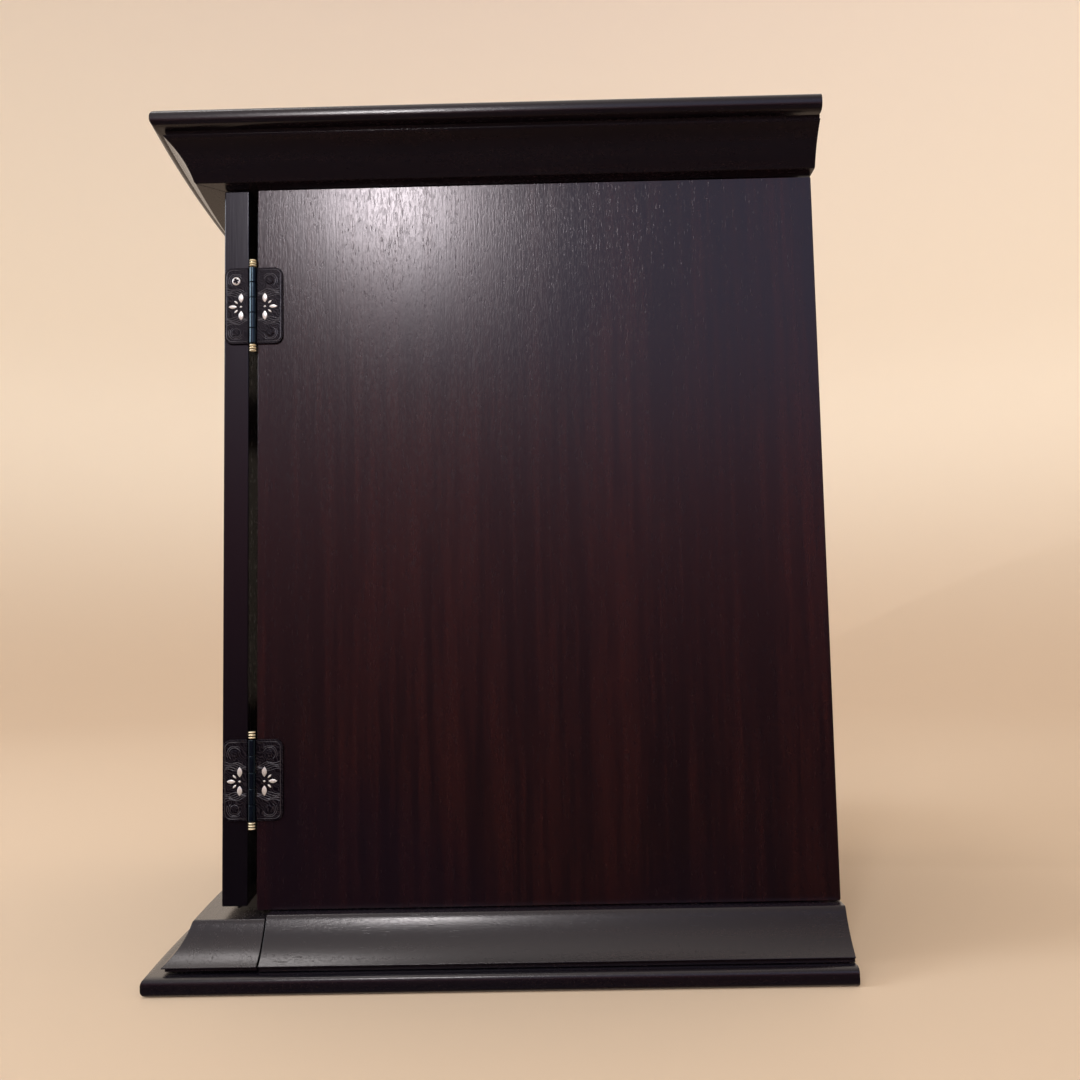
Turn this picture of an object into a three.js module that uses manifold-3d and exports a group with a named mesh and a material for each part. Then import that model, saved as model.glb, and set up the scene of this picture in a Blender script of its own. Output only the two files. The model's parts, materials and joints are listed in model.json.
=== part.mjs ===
// Household altar cabinet: a small lacquered case with two bowed doors, a moulded base with a
// pull-out tray, and a moulded cornice. Millimetres, +Z up, the doors face -Y.
// The origin is the middle of the box around the cabinet, at the underside of the base board.
import * as THREE from 'three';
import * as BufferGeometryUtils from 'three/addons/utils/BufferGeometryUtils.js';
import Module from 'manifold-3d';

const wasm = await Module();
wasm.setup();

// ---- driving dimensions ----
const totalHeight = 440;
const bodyWidth = 324;          // across the outer faces of the two side panels
const panelDepth = 294.5;       // side panel, front edge to back edge
const bowRadius = 1700;         // curve of the whole front, seen from above
const gap = 0.3;                // between pieces that touch

const boardThickness = 9.1;     // base board and top board, both with a half-round edge
const mouldingHeight = 23.3;    // from the base board's top to the ledge under the panels
const corniceHeight = 22.3;     // from the panels' top to the top board
const panelThickness = 13;
const panelCorner = 2;          // rounding of a side panel's corners
const floorThickness = 10;
const backThickness = 6;
const backInset = 3;            // back panel, in from the panels' back edges

const doorThickness = 13.1;
const doorReveal = 4.6;         // hinge gap between a door's back and the panel's front edge
const doorMeeting = 1;          // gap between the two doors
const doorTopGap = 0.7;
const doorBottomGap = 2.4;      // above the ledge of the side mouldings

// how far the mouldings stand out: beyond a side panel's face, and ahead of its front edge
const boardReach = { side: 30, front: 47.6 };         // half-round edge of base board and top board
const corniceEdge = { side: 9.4, front: 30.2 };       // lower edge of the cornice's cove
const corniceTop = { side: 24.8, front: 42.4 };       // upper edge of it
const ledgeEdge = { side: 8.8, front: 29.7 };         // upper edge of the base's cove
const baseFoot = { side: 24.2, front: 39.8 };         // lower edge of it
const coveSag = 1.6;            // hollow of the coves below their chord
const quirkDepth = 1.4;         // small shadow step beside each board
const quirkHeight = 2;
const quirkEdge = 0.3;          // softened edge of that step
const lipHeight = 0.8;

const trayEndY = 7;             // where the tray front's returns meet the side mouldings
const trayDrop = 1.8;           // tray front's ledge below the side mouldings' ledge
const trayClearance = 0.9;      // under the tray front
const trayInnerY = -14;         // inner face of the tray front
const trayBoardThickness = 9;
const trayBoardLength = 245;
const mouldingInner = 147;      // inner faces of the side mouldings
const runnerWidth = 9;
const railDepth = 20;           // back rails of the base and of the cornice
const corniceInnerY = 6;        // inner face of the cornice's front bar
const corniceBarWidth = 24;     // side bars, inboard of the side panels' outer faces

const hingeHeight = 41;
const hingeInset = 63;          // hinge middle from the door's top or bottom edge
const leafThickness = 1.1;
const doorLeafWidth = 12.6;
const caseLeafWidth = 13.7;
const leafCorner = 3.6;
const knuckleRadius = 1.9;
const knuckleBore = 1.05;
const knuckleCount = 5;
const pinRadius = 0.7;
const finialHeight = 4.4;
const finialRadius = 1.65;
const pinStandOff = 1.6;        // hinge axis beyond the side panel's face
const pinAheadOfPanel = 2.1;    // hinge axis ahead of the side panel's front edge

const knobRadius = 6;
const knobLength = 15;
const knobFromEdge = 15;        // knob axis from the door's meeting edge

const bowSteps = 14;
const coveSteps = 6;
const noseSteps = 6;
const roundSteps = 12;

// ---- places worked out from them, in a frame whose y is 0 at the side panels' front edges ----
const halfBody = bodyWidth / 2;
const halfBoard = halfBody + boardReach.side;
const doorFront = doorReveal + doorThickness;
const frontMostY = bowY(0, halfBoard, boardReach.front);
const shiftY = -(frontMostY + panelDepth) / 2;        // moves that frame to the part's origin

const ledgeZ = boardThickness + mouldingHeight;
const panelBottomZ = ledgeZ + gap;
const soffitZ = totalHeight - boardThickness - corniceHeight;
const panelTopZ = soffitZ - gap;
const ceilingBottomZ = panelTopZ - floorThickness;
const doorBottomZ = ledgeZ + doorBottomGap;
const doorTopZ = soffitZ - doorTopGap;
const backPanelY = panelDepth - backInset - backThickness;
const trayBoardZ = ledgeZ - trayDrop - lipHeight - trayBoardThickness;

// ---- finishes ----
const darkLacquer = finish(0x1a1113, 0.32);
const blackLacquer = finish(0x141214, 0.28);
const innerLacquer = finish(0x21150f, 0.4);
const blackPlate = finish(0x121316, 0.38, 0.7);
const brass = finish(0xb58a48, 0.3, 1);

const cabinet = new THREE.Group();
cabinet.name = 'altar_cabinet';
const setOut = new THREE.Group();                     // y = 0 at the side panels' front edges
setOut.position.y = shiftY;
cabinet.add(setOut);

buildBase();
buildTray();
buildCase();
buildCornice();
for (const side of [-1, 1]) {
  buildDoor(side);
  for (const level of ['lower', 'upper']) buildHinge(side, level);
}

export default cabinet;

// ---- pieces ----

function buildBase() {
  add('base_board', nosedBoard(0), blackLacquer);
  const bottom = boardThickness + gap;
  const moulding = solidOf(stackedPlan(baseCove(bottom, ledgeZ), panelDepth));
  const railY = panelDepth - railDepth;
  for (const side of [-1, 1]) {
    const zone = block(side * mouldingInner, side * halfBoard, trayEndY + gap, panelDepth,
      bottom, ledgeZ);
    add(`base_moulding_${sideName(side)}`, meshOf(moulding.intersect(solidOf(zone))), blackLacquer);
    const inner = side * (mouldingInner - gap);
    const runner = block(inner, inner - side * runnerWidth, trayEndY + gap, railY - gap,
      bottom, trayBoardZ - gap);
    add(`tray_runner_${sideName(side)}`, runner, innerLacquer);
  }
  const rail = block(-mouldingInner + gap, mouldingInner - gap, railY, panelDepth, bottom, ledgeZ);
  add('base_back_rail', rail, blackLacquer);
}

function buildTray() {
  const bottom = boardThickness + trayClearance;
  const top = ledgeZ - trayDrop;
  const front = solidOf(stackedPlan(baseCove(bottom, top), trayEndY));
  const pocket = block(-mouldingInner, mouldingInner, trayInnerY, trayEndY + 1, bottom - 1, top + 1);
  add('tray_front', meshOf(front.subtract(solidOf(pocket))), blackLacquer);
  const board = block(-mouldingInner + 1, mouldingInner - 1, trayInnerY + gap,
    trayInnerY + trayBoardLength, trayBoardZ, trayBoardZ + trayBoardThickness);
  add('tray_board', board, innerLacquer);
}

function buildCase() {
  for (const side of [-1, 1]) {
    const outline = roundedRectangle(0, panelDepth, panelBottomZ, panelTopZ, panelCorner);
    const x = side > 0 ? halfBody - panelThickness : -halfBody;
    add(`side_panel_${sideName(side)}`, extrudeAlongX(outline, x, panelThickness), darkLacquer);
  }
  const inner = halfBody - panelThickness - gap;
  const plan = bowedPlan(-inner, inner, halfBody, 0, backPanelY - gap);
  add('case_floor', extrudeUp(plan, panelBottomZ, floorThickness), innerLacquer);
  add('case_ceiling', extrudeUp(plan, ceilingBottomZ, floorThickness), innerLacquer);
  const back = block(-inner, inner, backPanelY, backPanelY + backThickness, panelBottomZ, panelTopZ);
  add('back_panel', back, darkLacquer);
}

function buildCornice() {
  const top = totalHeight - boardThickness - gap;
  const frame = solidOf(stackedPlan(corniceCove(soffitZ, top), panelDepth));
  const inner = halfBody - corniceBarWidth;
  const railY = panelDepth - railDepth;
  const hole = block(-inner, inner, corniceInnerY, railY, soffitZ - 1, top + 1);
  const ring = frame.subtract(solidOf(hole));
  // each mitre runs from the frame's inner corner through the outer corner of its upper edge
  const slope = (corniceInnerY + corniceTop.front) / (corniceBarWidth + corniceTop.side);
  const far = corniceBarWidth + 2 * boardReach.side;
  const frontWedge = (inset) => solidOf(extrudeUp([
    [-inner + inset, corniceInnerY], [-inner - far + inset, corniceInnerY - slope * far],
    [inner + far - inset, corniceInnerY - slope * far], [inner - inset, corniceInnerY],
  ], soffitZ - 1, corniceHeight + 2));
  add('cornice_front', meshOf(ring.intersect(frontWedge(gap / 2))), blackLacquer);
  const behind = ring.subtract(frontWedge(-gap / 2));
  for (const side of [-1, 1]) {
    const zone = block(side * inner, side * halfBoard, frontMostY, panelDepth, soffitZ, top);
    add(`cornice_${sideName(side)}`, meshOf(behind.intersect(solidOf(zone))), blackLacquer);
  }
  const rail = block(-inner + gap, inner - gap, railY, panelDepth, soffitZ, top);
  add('cornice_back_rail', rail, blackLacquer);
  add('top_board', nosedBoard(totalHeight - boardThickness), blackLacquer);
}

function buildDoor(side) {
  const meeting = side * doorMeeting / 2;
  const [x0, x1] = side > 0 ? [meeting, halfBody] : [-halfBody, meeting];
  const front = bowedLine(x0, x1, halfBody, doorFront);
  const plan = [...front, ...bowedLine(x0, x1, halfBody, doorReveal).reverse()];
  const name = sideName(side);
  add(`door_${name}`, extrudeUp(plan, doorBottomZ, doorTopZ - doorBottomZ), darkLacquer);
  const x = meeting + side * knobFromEdge;
  const knob = new THREE.LatheGeometry(knobProfile(), roundSteps);
  // the lathe turns about Y, with its foot at y = 0; the knob points ahead of the door
  knob.rotateX(Math.PI);
  knob.translate(x, bowY(x, halfBody, doorFront) - gap, (doorBottomZ + doorTopZ) / 2);
  add(`door_knob_${name}`, knob, brass);
}

function knobProfile() {
  const neck = knobRadius * 0.42;
  const points = [
    [0, 0], [knobRadius * 0.8, 0], [knobRadius * 0.8, 1.2], [neck, 2.2], [neck, knobLength * 0.42],
  ];
  for (let i = 0; i <= 4; i++) {
    const turn = (i / 4) * Math.PI / 2;
    points.push([knobRadius * Math.cos(turn), knobLength * (0.62 + 0.38 * Math.sin(turn))]);
  }
  return points.map(([radius, along]) => new THREE.Vector2(Math.max(radius, 0), along));
}

function buildHinge(side, level) {
  const middle = level === 'upper' ? doorTopZ - hingeInset : doorBottomZ + hingeInset;
  const place = new THREE.Group();
  place.position.set(side * (halfBody + pinStandOff), -pinAheadOfPanel, middle);
  setOut.add(place);
  const name = `hinge_${level}_${sideName(side)}`;
  const pitch = hingeHeight / knuckleCount;
  // plates lie flat on the wood, so they sit inboard of the axis by the stand-off
  const plateX = -pinStandOff + gap + leafThickness / 2;
  for (const [part, away, width, first] of [['case_leaf', 1, caseLeafWidth, 0],
    ['door_leaf', -1, doorLeafWidth, 1]]) {
    const rootY = away > 0 ? pinAheadOfPanel : doorReveal - pinAheadOfPanel;
    let leaf = solidOf(leafPlate(side, away, rootY, width, plateX));
    for (let i = first; i < knuckleCount; i += 2) {
      const z = -hingeHeight / 2 + pitch * (i + 0.5);
      const length = pitch - gap;
      leaf = leaf.add(solidOf(cylinderZ(knuckleRadius, length, z)));
      const reach = rootY - knuckleRadius / 2;
      const tongue = new THREE.BoxGeometry(leafThickness, reach, length);
      tongue.translate(side * plateX, away * (knuckleRadius / 2 + reach / 2), z);
      leaf = leaf.add(solidOf(tongue));
    }
    leaf = leaf.subtract(solidOf(cylinderZ(knuckleBore, hingeHeight + 2, 0)));
    add(`${name}_${part}`, meshOf(leaf), blackPlate, place);
  }
  add(`${name}_pin`, new THREE.LatheGeometry(pinProfile(), roundSteps).rotateX(Math.PI / 2), brass,
    place);
}

// a plate on the wood, its free corners rounded; away is +1 towards the back, -1 towards the front
function leafPlate(side, away, rootY, width, plateX) {
  const half = hingeHeight / 2;
  const far = rootY + width;
  const points = [[rootY, -half]];
  for (const [z, start] of [[-half + leafCorner, -Math.PI / 2], [half - leafCorner, 0]]) {
    for (let i = 0; i <= 4; i++) {
      const turn = start + (i / 4) * Math.PI / 2;
      points.push([far - leafCorner + leafCorner * Math.cos(turn), z + leafCorner * Math.sin(turn)]);
    }
  }
  points.push([rootY, half]);
  const outline = points.map(([y, z]) => [away * y, z]);
  return extrudeAlongX(away > 0 ? outline : outline.reverse(), side * plateX - leafThickness / 2,
    leafThickness);
}

function pinProfile() {
  const half = hingeHeight / 2;
  const points = [[0, -half - finialHeight]];
  // three beads on each end, the pin between them
  for (const end of [-1, 1]) {
    const base = half + gap;
    const bead = (finialHeight - gap) / 3;
    const beads = [];
    for (let i = 0; i < 3; i++) {
      const radius = finialRadius * (i === 1 ? 0.86 : 1) * (i === 2 ? 0.8 : 1);
      beads.push([radius * 0.72, base + bead * i], [radius, base + bead * (i + 0.3)],
        [radius, base + bead * (i + 0.7)], [radius * 0.72, base + bead * (i + 1)]);
    }
    beads.unshift([pinRadius, base]);
    const placed = beads.map(([radius, z]) => [radius, end * z]);
    points.push(...(end < 0 ? placed.reverse() : placed));
  }
  points.push([0, half + finialHeight]);
  return points.map(([radius, z]) => new THREE.Vector2(radius, z));
}

// ---- profiles: points { z, side, front } from the bottom up ----

function baseCove(bottom, top) {
  const lip = boardThickness + gap + quirkHeight;
  return [
    level(bottom, baseFoot, -quirkDepth), level(lip, baseFoot, -quirkDepth),
    level(lip + quirkEdge, baseFoot),
    ...coveArc(level(lip + lipHeight, baseFoot), level(top - lipHeight, ledgeEdge)),
    level(top, ledgeEdge, -lipHeight),
  ];
}

function corniceCove(bottom, top) {
  const lip = top - quirkHeight;
  return [
    level(bottom, corniceEdge),
    ...coveArc(level(bottom + lipHeight, corniceEdge, lipHeight), level(lip - lipHeight, corniceTop)),
    level(lip - quirkEdge, corniceTop), level(lip, corniceTop, -quirkDepth),
    level(top, corniceTop, -quirkDepth),
  ];
}

function level(z, reach, more = 0) {
  return { z, side: reach.side + more, front: reach.front + more };
}

// a shallow hollow between two levels, as a curve that sags towards the body
function coveArc(start, end) {
  const chord = Math.hypot(end.z - start.z, end.side - start.side);
  const points = [];
  for (let i = 0; i <= coveSteps; i++) {
    const along = i / coveSteps;
    const sag = 4 * coveSag * along * (1 - along) / chord;
    const inward = sag * (end.z - start.z);
    points.push({
      z: mix(start.z, end.z, along) + sag * (end.side - start.side),
      side: mix(start.side, end.side, along) - inward,
      front: mix(start.front, end.front, along) - inward,
    });
  }
  return points;
}

function nosedBoard(bottom) {
  const radius = boardThickness / 2;
  const profile = [];
  for (let i = 0; i <= noseSteps; i++) {
    const turn = -Math.PI / 2 + (i / noseSteps) * Math.PI;
    profile.push(level(bottom + radius + radius * Math.sin(turn), boardReach,
      radius * Math.cos(turn) - radius));
  }
  return stackedPlan(profile, panelDepth);
}

// ---- plan shapes ----

// y of a bowed front whose corners stand at x = half, a distance "ahead" of y = 0
function bowY(x, half, ahead) {
  return Math.sqrt(bowRadius ** 2 - half ** 2) - ahead - Math.sqrt(bowRadius ** 2 - x ** 2);
}

function bowedLine(x0, x1, half, ahead) {
  return Array.from({ length: bowSteps + 1 }, (_, i) => {
    const x = mix(x0, x1, i / bowSteps);
    return [x, bowY(x, half, ahead)];
  });
}

function bowedPlan(x0, x1, half, ahead, backY) {
  return [...bowedLine(x0, x1, half, ahead), [x1, backY], [x0, backY]];
}

// a solid whose plan grows and shrinks with height: bowed front, straight sides, flat back
function stackedPlan(profile, backY) {
  const positions = [];
  for (const { z, side, front } of profile) {
    const half = halfBody + side;
    for (const [x, y] of bowedPlan(-half, half, half, front, backY)) positions.push(x, y, z);
  }
  const ring = bowSteps + 3;
  const indices = [];
  for (let start = 0; start < (profile.length - 1) * ring; start += ring) {
    for (let i = 0; i < ring; i++) {
      const a = start + i;
      const b = start + (i + 1) % ring;
      indices.push(a, b, b + ring, a, b + ring, a + ring);
    }
  }
  const last = (profile.length - 1) * ring;
  for (let i = 1; i + 1 < ring; i++) indices.push(0, i + 1, i, last, last + i, last + i + 1);
  const geometry = new THREE.BufferGeometry();
  geometry.setAttribute('position', new THREE.Float32BufferAttribute(positions, 3));
  geometry.setIndex(indices);
  return geometry;
}

function roundedRectangle(y0, y1, z0, z1, radius) {
  const points = [];
  const corners = [[y1 - radius, z0 + radius], [y1 - radius, z1 - radius],
    [y0 + radius, z1 - radius], [y0 + radius, z0 + radius]];
  corners.forEach(([y, z], corner) => {
    for (let i = 0; i <= 3; i++) {
      const turn = (corner - 1 + i / 3) * Math.PI / 2;
      points.push([y + radius * Math.cos(turn), z + radius * Math.sin(turn)]);
    }
  });
  return points;
}

// ---- solids ----

function block(xa, xb, y0, y1, z0, z1) {
  const box = new THREE.BoxGeometry(Math.abs(xb - xa), y1 - y0, z1 - z0);
  return box.translate((xa + xb) / 2, (y0 + y1) / 2, (z0 + z1) / 2);
}

function cylinderZ(radius, length, z) {
  const cylinder = new THREE.CylinderGeometry(radius, radius, length, roundSteps);
  return cylinder.rotateX(Math.PI / 2).translate(0, 0, z);
}

function extrudeUp(outline, z, height) {
  const shape = new THREE.Shape(outline.map(([x, y]) => new THREE.Vector2(x, y)));
  const geometry = new THREE.ExtrudeGeometry(shape, { depth: height, bevelEnabled: false });
  return geometry.translate(0, 0, z);
}

// an outline in [y, z], extruded towards +X from x
function extrudeAlongX(outline, x, depth) {
  const shape = new THREE.Shape(outline.map(([y, z]) => new THREE.Vector2(y, z)));
  const geometry = new THREE.ExtrudeGeometry(shape, { depth, bevelEnabled: false });
  geometry.rotateX(Math.PI / 2).rotateZ(Math.PI / 2);
  return geometry.translate(x, 0, 0);
}

function solidOf(geometry) {
  const bare = geometry.clone();
  bare.deleteAttribute('normal');
  bare.deleteAttribute('uv');
  const merged = BufferGeometryUtils.mergeVertices(bare, 1e-4);
  return new wasm.Manifold(new wasm.Mesh({
    numProp: 3,
    vertProperties: new Float32Array(merged.attributes.position.array),
    triVerts: new Uint32Array(merged.index.array),
  }));
}

function meshOf(solid) {
  const mesh = solid.getMesh();
  const geometry = new THREE.BufferGeometry();
  geometry.setAttribute('position', new THREE.BufferAttribute(mesh.vertProperties, 3));
  geometry.setIndex(new THREE.BufferAttribute(mesh.triVerts, 1));
  return geometry;
}

function mix(from, to, share) {
  return from + (to - from) * share;
}

function add(name, geometry, material, parent = setOut) {
  const mesh = new THREE.Mesh(geometry, material);
  mesh.name = name;
  parent.add(mesh);
}

function finish(color, roughness, metalness = 0) {
  return new THREE.MeshStandardMaterial({ color, roughness, metalness });
}

function sideName(side) {
  return side > 0 ? 'right' : 'left';
}
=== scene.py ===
import json
import math

import bmesh
import bpy
from mathutils import Matrix, Vector


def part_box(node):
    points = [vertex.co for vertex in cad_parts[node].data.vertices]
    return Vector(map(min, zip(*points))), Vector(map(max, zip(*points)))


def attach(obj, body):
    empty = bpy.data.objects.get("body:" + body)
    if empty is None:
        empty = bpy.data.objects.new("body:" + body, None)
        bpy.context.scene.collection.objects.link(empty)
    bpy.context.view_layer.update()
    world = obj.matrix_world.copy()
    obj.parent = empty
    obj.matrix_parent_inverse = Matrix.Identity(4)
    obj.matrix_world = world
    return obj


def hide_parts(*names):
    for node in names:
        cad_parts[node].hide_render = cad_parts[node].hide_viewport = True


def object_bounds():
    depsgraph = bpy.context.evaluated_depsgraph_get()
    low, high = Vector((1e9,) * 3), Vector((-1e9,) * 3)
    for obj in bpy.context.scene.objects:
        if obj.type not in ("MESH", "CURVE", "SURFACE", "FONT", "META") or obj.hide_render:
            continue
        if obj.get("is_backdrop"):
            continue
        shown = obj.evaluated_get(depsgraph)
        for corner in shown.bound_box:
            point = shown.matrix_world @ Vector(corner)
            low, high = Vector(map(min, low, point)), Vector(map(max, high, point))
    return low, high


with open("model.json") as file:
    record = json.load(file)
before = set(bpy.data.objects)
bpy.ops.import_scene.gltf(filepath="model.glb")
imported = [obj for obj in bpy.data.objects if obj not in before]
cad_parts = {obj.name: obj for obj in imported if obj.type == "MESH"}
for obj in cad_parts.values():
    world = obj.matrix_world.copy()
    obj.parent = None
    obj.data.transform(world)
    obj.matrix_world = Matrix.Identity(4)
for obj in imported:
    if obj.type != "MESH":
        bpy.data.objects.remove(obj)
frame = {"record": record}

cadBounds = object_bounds()
mm = 0.001
airGap = 0.3 * mm               # between pieces that meet
sides = {"left": -1, "right": 1}
# half the width over the side panels, and the y of their front edges
halfBody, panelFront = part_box("side_panel_right")[1].x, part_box("side_panel_right")[0].y


# one wrapper for shader, world and geometry trees

class Wire:
    # an output socket; arithmetic on it adds Math nodes, node() adds any other node
    def __init__(self, tree, socket=None):
        self.tree, self.socket = tree, socket

    def node(self, kind, settings=None, inputs=None, output=0):
        made = self.tree.nodes.new(kind)
        for key, value in (settings or {}).items():
            if key == "stops":
                setStops(made.color_ramp, value)
            else:
                setattr(made, key, value)
        for key, value in (inputs or {}).items():
            wires = value if isinstance(value, list) else [value] if isinstance(value, Wire) else []
            for wire in wires:
                self.tree.links.new(wire.socket, made.inputs[key])
            if not wires:
                made.inputs[key].default_value = value
        return Wire(self.tree, made.outputs[output] if made.outputs else None)

    def other(self, name):
        return Wire(self.tree, self.socket.node.outputs[name])

    def maths(self, operation, *values):
        return self.node("ShaderNodeMath", {"operation": operation}, dict(enumerate(values)))

    def vector(self, operation, *values):
        return self.node("ShaderNodeVectorMath", {"operation": operation}, dict(enumerate(values)))

    def combined(self, **parts):
        return self.node("ShaderNodeCombineXYZ", None, parts)

    def separated(self):
        # its X, with Y and Z as other outputs
        return self.node("ShaderNodeSeparateXYZ", None, {"Vector": self})

    def attribute(self, name):
        return self.node("GeometryNodeInputNamedAttribute", {"data_type": "FLOAT"}, {"Name": name})

    def boolean(self, operation, meshes):
        return self.node("GeometryNodeMeshBoolean", {"operation": operation, "solver": "EXACT"}, meshes)

    def mixed(self, share, first, second):
        # colours, share 0 gives the first
        return self.node("ShaderNodeMix", {"data_type": "RGBA"},
                         {0: share, 6: first, 7: second}, output=2)

    def step(self, low, high):
        # 0 below low, 1 above high, smooth between
        return self.node("ShaderNodeMapRange", {"interpolation_type": "SMOOTHSTEP"},
                         {"Value": self, "From Min": low, "From Max": high})

    def root(self):
        return self.maths("SQRT", self.maths("MAXIMUM", self, 0.0))

    def __add__(self, value):
        return self.maths("ADD", self, value)

    def __radd__(self, value):
        return self.maths("ADD", value, self)

    def __sub__(self, value):
        return self.maths("SUBTRACT", self, value)

    def __rsub__(self, value):
        return self.maths("SUBTRACT", value, self)

    def __mul__(self, value):
        return self.maths("MULTIPLY", self, value)

    def __rmul__(self, value):
        return self.maths("MULTIPLY", value, self)

    def __truediv__(self, value):
        return self.maths("DIVIDE", self, value)

    def __pow__(self, value):
        return self.maths("POWER", self, value)


def setStops(ramp, stops):
    while len(ramp.elements) < len(stops):
        ramp.elements.new(1)
    for element, (place, colour) in zip(ramp.elements, stops):
        element.position, element.color = place, (*colour, 1)


def rgba(colour):
    return (*colour, 1)


# finishes

def shaderOf(name, constants):
    # a new material, its tree's wire, its Object coordinates and its shader with the plain values set
    material = bpy.data.materials.new(name)
    material.use_nodes = True
    shader = material.node_tree.nodes["Principled BSDF"]
    for key, value in constants.items():
        shader.inputs[key].default_value = value
    wire = Wire(material.node_tree)
    return material, wire, wire.node("ShaderNodeTexCoord", output="Object"), shader


def feed(shader, **links):
    for key, wire in links.items():
        wire.tree.links.new(wire.socket, shader.inputs[key.replace("_", " ")])


def noise(wire, place, scale, detail=2.0, roughness=0.5):
    return wire.node("ShaderNodeTexNoise", {"noise_dimensions": "3D"},
                     {"Vector": place, "Scale": scale, "Detail": detail, "Roughness": roughness})


figureStretch = 0.035           # how much slower the figure changes along the grain
grainAxes = {"along": 0, "deep": 1, "upright": 2}
grainScales = {"broad": 26.0, "figure": 190.0, "fine": 1100.0, "cloud": 7.5}
doorEdge = {"starts": 1.4 * mm, "full": 0.5 * mm}       # in from the door's outer face

# pores: scale, stretch along the grain, noise where a dent starts and is full, depth
panelLacquer = {
    "wood": (0.0185, 0.0042, 0.0044), "dark": (0.0055, 0.0022, 0.0032), "cool": (0.0034, 0.0022, 0.0070),
    "tint": (1.0, 0.90, 0.95), "roughness": 0.205, "poreRoughness": 0.10, "grainDepth": 0.018 * mm,
    "pores": ((1700.0, 0.18, 0.46, 0.64, 0.008 * mm), (1300.0, 0.19, 0.64, 0.72, 0.015 * mm)),
    "streak": 0.9, "edge": None,
}
doorLacquer = {**panelLacquer, "edge": (0.0018, 0.0018, 0.0036), "tint": (0.80, 0.76, 0.84)}
mouldingLacquer = {
    "wood": (0.0078, 0.0038, 0.0056), "dark": (0.0046, 0.0032, 0.0055), "cool": (0.0034, 0.0040, 0.0072),
    "tint": (1.0, 0.94, 0.94), "roughness": 0.21, "poreRoughness": 0.10, "grainDepth": 0.005 * mm,
    "pores": ((1500.0, 0.32, 0.44, 0.64, 0.008 * mm), (1250.0, 0.10, 0.66, 0.74, 0.014 * mm)),
    "streak": 0.7, "edge": None,
}
insideLacquer = {
    "wood": (0.0420, 0.0190, 0.0120), "dark": (0.0180, 0.0090, 0.0070), "cool": (0.0120, 0.0080, 0.0090),
    "tint": (1.0, 1.0, 1.0), "roughness": 0.36, "poreRoughness": 0.15, "grainDepth": 0.010 * mm,
    "pores": ((1900.0, 0.20, 0.54, 0.68, 0.010 * mm), (1150.0, 0.13, 0.66, 0.74, 0.030 * mm)),
    "streak": 0.7, "edge": None,
}


def lacqueredWood(name, look, grain):
    # satin lacquer on straight-grained wood whose grain runs along, deep or upright
    material, wire, place, shader = shaderOf(name, {"IOR": 1.5, "Specular Tint": rgba(look["tint"])})

    def stretched(amount):
        scale = [1.0, 1.0, 1.0]
        scale[grainAxes[grain]] = amount
        return place.vector("MULTIPLY", place, tuple(scale))

    along = stretched(figureStretch)
    broad = noise(wire, along, grainScales["broad"], 2.0)
    figure = noise(wire, along, grainScales["figure"], 2.0, 0.6)
    fine = noise(wire, along, grainScales["fine"], 1.0)
    cloud = noise(wire, place, grainScales["cloud"], 0.0)
    streaks = (broad * 0.40 + figure * 0.42 + fine * 0.18).step(0.40, 0.62) * look["streak"]
    crowding = figure.step(0.30, 0.60) * 0.4 + 0.6
    if look["edge"]:            # a door's outer edge is coloured darker and bluer than its faces, and has no pores
        across = place.separated()
        across = across.maths("ABSOLUTE", across)
        across = across.step(halfBody - doorEdge["starts"], halfBody - doorEdge["full"])
        crowding = crowding * (1.0 - across)
    height, pores = fine * look["grainDepth"], 0.0
    for scale, stretch, low, high, depth in look["pores"]:
        dents = noise(wire, stretched(stretch), scale, 1.0).step(low, high) * crowding
        height, pores = height - dents * depth, dents * 0.5 + pores
    colour = wire.mixed(streaks, rgba(look["dark"]), rgba(look["wood"]))
    colour = wire.mixed(cloud.step(0.48, 0.70) * 0.5, colour, rgba(look["cool"]))
    colour = wire.mixed(pores * 0.4, colour, rgba([0.5 * value for value in look["dark"]]))
    if look["edge"]:
        colour = wire.mixed(across, colour, rgba(look["edge"]))
    bump = wire.node("ShaderNodeBump", None, {"Distance": 1.0, "Height": height})
    feed(shader, Base_Color=colour, Normal=bump,
         Roughness=look["roughness"] + pores * look["poreRoughness"] + figure * 0.03)
    return material


blackPlating = {
    "colour": (0.0016, 0.0010, 0.0028), "worn": (0.036, 0.032, 0.044), "roughness": 0.34, "level": 0.13,
    "tint": (0.95, 0.86, 1.0), "lines": 0.05 * mm,
}
blueBlack = {
    "colour": (0.0008, 0.0030, 0.0070), "worn": (0.002, 0.006, 0.012), "roughness": 0.12, "level": 0.8,
    "tint": (0.62, 0.86, 1.0), "lines": 0,
}
plateScales = {"mottle": 900.0, "wear": 260.0, "lines": 330.0}


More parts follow.
